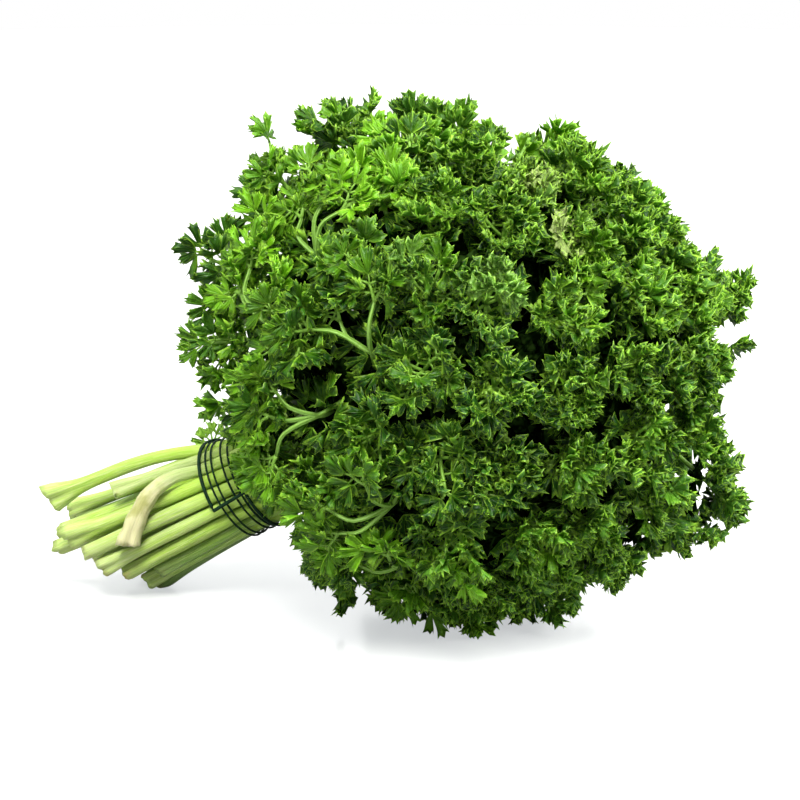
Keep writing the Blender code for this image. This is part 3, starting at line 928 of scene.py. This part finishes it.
def thick_band():
    """The thick rubber band's line: it steps along the stems in front and slants back behind."""
    out = 2 * THIN_RADIUS + THICK_RADIUS
    points = [on_tie(LINK_ANGLE - k, -TIE_HALF + 2 * TIE_HALF * k / 4, out) for k in range(5)]
    steps = 68
    for k in range(1, steps):
        angle = LINK_ANGLE - 4 + 364 * k / steps
        back = min(1.0, max(0.0, (angle - 270) / 180))
        over = 3.4 * THIN_RADIUS * exp(-(((angle - RETURN_ANGLE) / 30) ** 2))
        crossing = 1 - abs(2 * back - 1) ** 8
        height = THICK_RADIUS + (out + over - THICK_RADIUS) * crossing
        points.append(on_tie(angle, TIE_HALF * (1 - 2 * back), height))
    return np.array(points)


def thin_band():
    """The thin band's line: several turns, and a last stretch back over them."""
    steps = 48
    count = THIN_TURNS * steps
    forward = count - round(RETURN_SPAN * steps / 360)
    first = RETURN_ANGLE + RETURN_SPAN / 2
    points = []
    for k in range(count):
        part = max(0.0, (k - forward) / (count - forward))
        offset = THIN_HALF * (1 - 2 * part) if part else -THIN_HALF + 2 * THIN_HALF * k / forward
        offset += 0.5 * MM * sin(2 * pi * (k / steps - 0.3)) * sin(pi * k / count)
        offset += THIN_STRAY * sin(2.3 * k / steps + 1.1) * sin(pi * k / count)
        over = 4.0 * THIN_RADIUS * sin(pi * part)
        points.append(on_tie(first + 360 * k / steps, offset, THIN_RADIUS + over))
    return np.array(points)


def band(name, line, radius, sides, material):
    """A closed rubber strand along a line."""
    build = Build()
    thick = radius * (1 + 0.06 * np.sin(np.arange(len(line)) * 0.7))
    points, faces, along = tube(line, thick, sides, closed=True)
    build.add(points, faces, {"along": along})
    build.make(name + "_rubber", material, [name])


def stray_sprig(material):
    """A small curled leaf lying on the stems beside the tie."""
    build = Build()
    face = unit(TIE_UP - 0.9 * SIDE)
    ahead = unit(TIE_UP * 0.5 - TIE_AXIS)
    right = unit(np.cross(ahead, face))
    root = SPRIG_PLACE - TIE_UP * 1.6 * MM + TIE_AXIS * 3 * MM
    for turn in SPRIG_TURNS:
        aside = unit(ahead * cos(turn) + right * sin(turn))
        knot = root + aside * rng.uniform(1.6, 3.2) * MM
        twig(build, root, knot, 0.4 * MM, sides=5, steps=2)
        up = face + 0.4 * rng.normal(size=3)
        # its leaflets take the brightest tone: fresh green, and also painted light against the head's
        # shadow on it
        build.coarse.grow(knot, aside, up, SPRIG_LEAF, 0.25, 1.0, 0.12, anywhere=True)
    blades(build, COARSE, COARSE_RINGS, build.coarse.columns())
    build.make("sprig_leaf", material, ["sprig_stray"])


# ---- materials ----


class Paint:
    """The nodes of a material, or of the world."""

    def __init__(self, owner, surface="Principled BSDF"):
        owner.use_nodes = True
        self.owner, self.nodes, self.links = owner, owner.node_tree.nodes, owner.node_tree.links
        self.surface = self.nodes[surface]

    def node(self, kind, **settings):
        """A new node. A setting is the value of its input of that name, or else a property."""
        made = self.nodes.new("ShaderNode" + kind)
        for key, value in settings.items():
            if key in made.inputs:
                made.inputs[key].default_value = value
            else:
                setattr(made, key, value)
        return made

    def feed(self, socket, value):
        """Gives an input a number, a colour, or what another node puts out."""
        if isinstance(value, (int, float)):
            socket.default_value = value
        elif isinstance(value, tuple):
            socket.default_value = (*value, 1)[: len(socket.default_value)]
        else:
            self.links.new(value, socket)

    def give(self, values):
        """Feeds the surface's own inputs, by name."""
        for name, value in values.items():
            self.feed(self.surface.inputs[name], value)

    def fed(self, kind, *values, **settings):
        """A new node with its first inputs fed."""
        made = self.node(kind, **settings)
        for socket, value in zip(made.inputs, values):
            self.feed(socket, value)
        return made

    def attribute(self, name):
        return self.node("Attribute", attribute_name=name).outputs["Fac"]

    def object_place(self):
        return self.node("TexCoord").outputs["Object"]

    def seen(self):
        """1 for what the camera sees directly, 0 for the light that falls on other things."""
        return self.node("LightPath").outputs["Is Camera Ray"]

    def math(self, operation, *values):
        return self.fed("Math", *values, operation=operation).outputs[0]

    def times(self, a, b):
        return self.math("MULTIPLY", a, b)

    def mix(self, factor, a, b, blend="MIX"):
        made = self.node("Mix", data_type="RGBA", blend_type=blend)
        for index, value in ((0, factor), (6, a), (7, b)):
            self.feed(made.inputs[index], value)
        return made.outputs[2]

    def layers(self, colour, *more):
        """The colour with others laid over it in turn, each by its own share."""
        for share, over in more:
            colour = self.mix(share, colour, over)
        return colour

    def ramp(self, value, start, end, low=0.0, high=1.0):
        """low where the value is start or less, high where it is end or more, smooth between."""
        made = self.fed("MapRange", value, start, end, low, high, interpolation_type="SMOOTHSTEP")
        return made.outputs["Result"]

    def noise(self, place, fineness, **settings):
        scale, detail = fineness
        return self.fed("TexNoise", place, Scale=scale, Detail=detail, **settings).outputs["Fac"]

    def bump(self, height, strength, distance):
        made = self.node("Bump", Strength=strength, Distance=distance)
        self.feed(made.inputs["Height"], height)
        return made.outputs["Normal"]


def leaf_material():
    """A leaf: light veins, margins that are pale and also carry painted highlights, painted highlights
    on curly ridges, a painted whitish sheen, painted shade inside curls and in the depths, and light
    coming through; also its stalks.
    """
    paint = Paint(bpy.data.materials.new("parsley_leaf"))
    calc, ramp, times, value = paint.math, paint.ramp, paint.times, paint.attribute
    tone, curl = value("tone"), value("curl")
    place = paint.object_place()
    cloud, grain, wrinkle = (paint.noise(place, fineness) for fineness in (CLOUD, GRAIN, WRINKLE))
    # shade: the leaflet's tone, lifted in the brighter places and lowered by painted shade in the
    # shaded places, inside the branch and in the depths, with cloud and wrinkle noise
    shade = calc("ADD", times(tone, 0.7), times(cloud, 0.45))
    shade = calc("MULTIPLY_ADD", wrinkle, 0.35, calc("SUBTRACT", shade, 0.175))
    tooth = calc("PINGPONG", calc("SUBTRACT", value("across"), 0.5), 0.5)
    ridge = calc("ABSOLUTE", calc("SUBTRACT", wrinkle, 0.5))
    # curly: thin ridges on curled leaflets, which carry painted highlights and bumps
    curly = times(ramp(ridge, 0.0, 0.035, 1.0, 0.0), ramp(curl, 0.3, 0.9, 0.0, 0.75))
    # margins and tooth tips: pale, and also painted highlights
    rim_and_highlight = times(ramp(value("margin"), 0.0, 0.55, 1.0, 0.0), ramp(tooth, 0.0, 0.5, 1.0, 0.45))
    twigs = paint.mix(grain, TWIG_GREEN, TWIG_LIGHT)
    twigs = paint.mix(ramp(tooth, 0.0, 0.4, 0.75, 0.0), twigs, TWIG_RIB)
    colour = paint.layers(
        DEEP_GREEN,
        (ramp(shade, 0.25, 0.95), FRESH_GREEN),
        (ramp(tooth, 0.0, 0.12, 0.6, 0.0), VEIN_GREEN),
        (ramp(value("along"), 0.05, 0.42, 0.75, 0.0), BASE_GREEN),
        # painted shade inside curled leaflets
        (ramp(curl, 0.2, 1.0, 0.05, 0.75), CURL_SHADE_GREEN),
        # painted highlights along curly ridges
        (curly, RIDGE_HIGHLIGHT_GREEN),
        # pale margins and painted highlights, dimmer where the tone is shaded
        (times(rim_and_highlight, ramp(tone, 0.0, 0.5, 0.8, 0.95)), RIM_AND_HIGHLIGHT_GREEN),
        (times(value("under"), 0.35), UNDER_GREEN),
        (value("age"), YELLOWED),
        # painted whitish sheen, in grainy specks
        (times(value("frost"), ramp(grain, 0.42, 0.6, 0.1, 0.6)), SHEEN_GREEN),
        (value("stalk"), twigs),
        # leaves of the depths: painted shade, near black with a little wrinkle
        (ramp(tone, *INSIDE, 1.0, 0.0), paint.mix(ramp(wrinkle, 0.42, 0.62), *DEPTH_SHADE_GREENS)),
    )
    relief = calc("MULTIPLY_ADD", curly, 0.8, calc("ADD", times(tooth, 1.2), grain))
    paint.give({
        "Base Color": colour,
        "Roughness": ramp(tone, *INSIDE, 1.0, 0.4),
        "Specular IOR Level": ramp(tone, *INSIDE, 0.0, 0.32),
        "Normal": paint.bump(relief, 0.75, 0.5 * MM),
    })
    through = paint.fed("BsdfTranslucent", paint.mix(1.0, colour, SHINE_THROUGH, "MULTIPLY"))
    both = paint.fed("MixShader", THROUGH, paint.surface.outputs[0], through.outputs[0])
    paint.feed(paint.nodes["Material Output"].inputs["Surface"], both.outputs[0])
    return paint.owner


def stem_material():
    """A stem: fibre streaks along it, whose palest parts are pale fibre and also painted highlights;
    paler at its cut end and greener toward the leaves.
    """
    paint = Paint(bpy.data.materials.new("parsley_stem"))
    calc, ramp, times, value = paint.math, paint.ramp, paint.times, paint.attribute
    tone, pale, length = value("tone"), value("pale"), value("length")
    across = calc("MULTIPLY_ADD", value("cosine"), STREAK_ROUND, times(tone, STREAK_APART))
    around = (across, times(value("sine"), STREAK_ROUND), times(length, STREAK_ALONG))
    place = paint.fed("CombineXYZ", *around).outputs[0]
    streak = paint.noise(place, STREAK, Roughness=0.6)
    fibre = paint.noise(place, FIBRE)
    blotch = paint.noise(paint.object_place(), BLOTCH)
    light = calc("MULTIPLY_ADD", pale, 0.22, calc("MULTIPLY_ADD", tone, 0.36, streak))
    cream = times(ramp(pale, 1.0, 2.0, 0.0, 0.85), ramp(length, *CREAM_GOES, 1.0, 0.0))
    vivid = times(ramp(length, *VIVID_COMES, 0.0, 0.6), ramp(length, *VIVID_GOES, 1.0, 0.0))
    brown = times(ramp(length, *BROWN_GOES, 1.0, 0.0), ramp(blotch, 0.5, 0.7, 0.0, 0.7))
    colour = paint.layers(
        STEM_GREEN,
        (ramp(light, 0.48, 0.74), STEM_LIGHT),
        # the palest streaks: pale fibre, and also painted highlights
        (ramp(light, 0.68, 0.95), PALE_STREAK_AND_HIGHLIGHT),
        (ramp(fibre, 0.52, 0.66, 0.0, 0.42), FIBRE_DARK),
        # light fibres, and also painted highlights
        (ramp(fibre, 0.36, 0.46, 0.6, 0.0), LIGHT_FIBRE_AND_HIGHLIGHT),
        (ramp(length, *CUT_GOES, 0.3, 0.0), CUT_PALE),
        (cream, paint.mix(ramp(blotch, 0.4, 0.62), *CREAMS)),
        (vivid, VIVID),
        (ramp(length, *GREEN_COMES, 0.0, 0.8), UPPER_GREEN),
        (times(value("dark"), 0.72), SHADY_GREEN),
        (brown, BROWN),
        (times(value("heart"), 0.7), HEART),
    )
    paint.give({
        "Base Color": colour,
        "Roughness": 0.36,
        "Subsurface Weight": 0.2,
        "Subsurface Radius": (2 * MM, 3 * MM, 1 * MM),
        "Subsurface Scale": 1.0,
        "Normal": paint.bump(calc("MULTIPLY_ADD", fibre, -0.6, streak), 0.8, 0.6 * MM),
    })
    return paint.owner


def band_material():
    """Matt, finely grained dark rubber."""
    paint = Paint(bpy.data.materials.new("dark_rubber"))
    grain = paint.noise(paint.object_place(), RUBBER_GRAIN)
    paint.give({
        "Base Color": paint.mix(paint.ramp(grain, 0.35, 0.7), *RUBBER),
        "Roughness": paint.ramp(grain, 0.3, 0.7, 0.5, 0.7),
        "Specular IOR Level": 0.1,
        "Normal": paint.bump(grain, 0.4, 0.2 * MM),
    })
    return paint.owner


# ---- stage ----


def linked(name, data):
    """A new object in the scene."""
    obj = bpy.data.objects.new(name, data)
    bpy.context.scene.collection.objects.link(obj)
    return obj


def stage():
    """A pale floor lit from below, white surroundings, and soft suns."""
    paint = Paint(bpy.data.materials.new("studio_floor"))
    paint.give({
        "Base Color": (FLOOR_GREY,) * 3,
        "Roughness": 0.22,
        "Emission Color": (0.95, 0.98, 1),
        "Emission Strength": paint.ramp(paint.seen(), 0.0, 1.0, 0.0, FLOOR_GLOW),
    })
    bpy.ops.mesh.primitive_circle_add(vertices=96, radius=FLOOR_RADIUS, fill_type="NGON")
    floor = bpy.context.object
    floor.name = "floor"
    floor.data.materials.append(paint.owner)
    air = Paint(bpy.data.worlds.new("studio"), "Background")
    air.give({"Strength": air.ramp(air.seen(), 0.0, 1.0, AMBIENT, 1.0), "Color": (1, 1, 1)})
    bpy.context.scene.world = air.owner
    for name, turn, rise, strength, soft, colour in SUNS:
        data = bpy.data.lights.new(name, "SUN")
        data.energy = strength
        data.angle = radians(soft)
        data.color = colour
        lamp = linked(name, data)
        lamp.location = Vector(toward(turn, rise))
        lamp.rotation_euler = lamp.location.to_track_quat("Z", "Y").to_euler()


def camera():
    data = bpy.data.cameras.new("camera")
    data.lens = CAMERA_LENS
    data.sensor_width = SENSOR
    obj = linked("camera", data)
    back = toward(CAMERA_TURN, CAMERA_RISE)
    right = toward(CAMERA_TURN + 90, 0)
    aim = HEAD_CENTRE + right * AIM_RIGHT + np.cross(back, right) * AIM_UP
    obj.location = aim + back * CAMERA_AWAY
    obj.rotation_euler = Vector(-back).to_track_quat("-Z", "Y").to_euler()
    bpy.context.scene.camera = obj
    bpy.context.scene.view_settings.view_transform = "Standard"


def build():
    leaf, stalk, rubber = leaf_material(), stem_material(), band_material()
    sites = site_directions()
    slots = stem_slots()
    arms = {int(np.argmax(sites @ toward(*place))): angles for place, angles in OPEN_FORKS}
    nearest = np.argmax(sites @ np.array([slot[3] for slot in slots]).T, axis=1)
    tufts, proud = tufted(sites)
    for k, (ring, place, phi, direction) in enumerate(slots):
        fork = HEAD_CENTRE + direction * (FORK_REACH * head_radius(direction))
        points, radii = stem_line(k + 1, ring, place, phi, direction, fork)
        stem(k + 1, points, radii, stalk)
        frond(k + 1, fork, np.flatnonzero(nearest == k), tufts, proud, arms, leaf)
    band("band_thick", thick_band(), THICK_RADIUS, 10, rubber)
    band("band_thin", thin_band(), 1.2 * THIN_RADIUS, 8, rubber)
    stray_sprig(leaf)


build()
stage()
camera()
